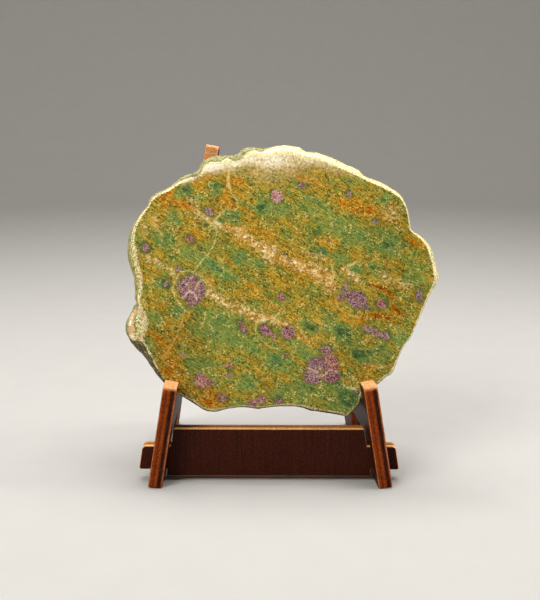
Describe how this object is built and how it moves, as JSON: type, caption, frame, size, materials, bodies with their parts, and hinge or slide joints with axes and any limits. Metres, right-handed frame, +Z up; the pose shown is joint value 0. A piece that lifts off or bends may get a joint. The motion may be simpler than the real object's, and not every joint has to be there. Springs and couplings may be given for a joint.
{
  "type": "ruby in zoisite slab on an easel",
  "caption": "Polished slice of green zoisite with ruby grains, leaning on a knock-down plywood easel with prongs and uprights.",
  "frame": {"origin": "bottom centre of the whole object's box, on the surface that it stands on", "axes": "+Z up, +X to the right of the polished face, +Y to the back, so the polished face looks along -Y and a little up"},
  "size_m": [0.1136, 0.0702, 0.1201],
  "materials": {
    "zoisite_stone": "polished face, rough rind",
    "stained_plywood": "dark stain, satin"
  },
  "bodies": {
    "root": {"ruby_zoisite_slab": "zoisite_stone", "left_side_plate": "stained_plywood", "right_side_plate": "stained_plywood", "cross_bar": "stained_plywood"}
  },
  "joints": []
}
